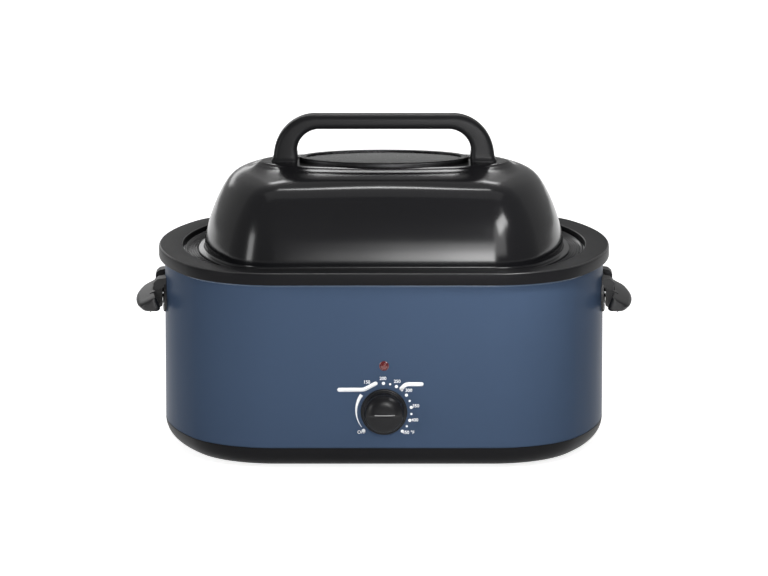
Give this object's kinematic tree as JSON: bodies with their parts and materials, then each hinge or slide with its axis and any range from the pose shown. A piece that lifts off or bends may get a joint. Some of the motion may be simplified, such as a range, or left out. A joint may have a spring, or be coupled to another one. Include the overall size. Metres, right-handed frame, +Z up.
{
  "type": "electric roaster oven",
  "caption": "Countertop electric roaster oven: steel body on a base, lift-out pan and rack, domed lift-off lid with a window, turning temperature knob.",
  "frame": {"origin": "centre of the footprint, on the surface that the feet stand on", "axes": "+Z up, +X to the right seen from the front, the front with the control faces -Y"},
  "size_m": [0.623, 0.48, 0.4118],
  "materials": {
    "blue_paint": "satin paint",
    "black_moulding": "fine satin",
    "black_handle": "fine satin",
    "lid_enamel": "gloss enamel",
    "pan_enamel": "gloss enamel",
    "bezel_steel": "satin",
    "window_glass": "polished",
    "black_rubber": "matt",
    "chromed_wire": "polished",
    "plated_steel": "satin",
    "coated_steel": "satin",
    "mica_band": "matt",
    "mineral_wool": "fibrous",
    "ceramic": "matt",
    "red_lens": "clear gloss",
    "black_nylon": "matt",
    "lead_sleeve": "matt"
  },
  "bodies": {
    "root": {"base_skirt": "black_moulding", "bottom_plate": "coated_steel", "bottom_screws": "plated_steel", "rubber_feet": "black_rubber", "foot_screws": "plated_steel", "front_wrap": "blue_paint", "rear_wrap": "blue_paint", "rim_trim": "black_moulding", "heating_well": "coated_steel", "heating_band": "mica_band", "insulation_blanket": "mineral_wool", "heat_shield": "coated_steel", "support_posts": "coated_steel", "left_handle_bracket": "black_handle", "right_handle_bracket": "black_handle", "left_handle_grip": "black_handle", "right_handle_grip": "black_handle", "side_handle_screws": "plated_steel", "bracket_rivets": "plated_steel", "thermostat": "ceramic", "thermostat_nut": "plated_steel", "indicator_lens": "red_lens", "indicator_holder": "ceramic", "cord_gland": "black_nylon", "gland_nut": "black_nylon", "terminal_block": "ceramic", "internal_leads": "lead_sleeve"},
    "pan": {"roasting_pan": "pan_enamel"},
    "rack": {"wire_rack": "chromed_wire"},
    "lid": {"lid_shell": "lid_enamel", "window_gasket": "black_rubber", "window_glass": "window_glass", "window_bezel": "bezel_steel", "lid_handle": "black_handle", "lid_handle_screws": "plated_steel"},
    "knob": {"control_knob": "black_handle", "thermostat_spindle": "plated_steel"}
  },
  "joints": [
    {"name": "pan_lift", "type": "slide", "parent": "root", "child": "pan", "axis": [0, 0, 1], "range_m": [0, 0.25]},
    {"name": "lid_lift", "type": "slide", "parent": "pan", "child": "lid", "axis": [0, 0, 1], "range_m": [0, 0.3]},
    {"name": "rack_lift", "type": "slide", "parent": "pan", "child": "rack", "axis": [0, 0, 1], "range_m": [0, 0.12]},
    {"name": "knob_turn", "type": "hinge", "parent": "root", "child": "knob", "pos_m": [0, -0.216, 0.076], "axis": [0, 1, 0], "range_deg": [-45, 225]}
  ]
}
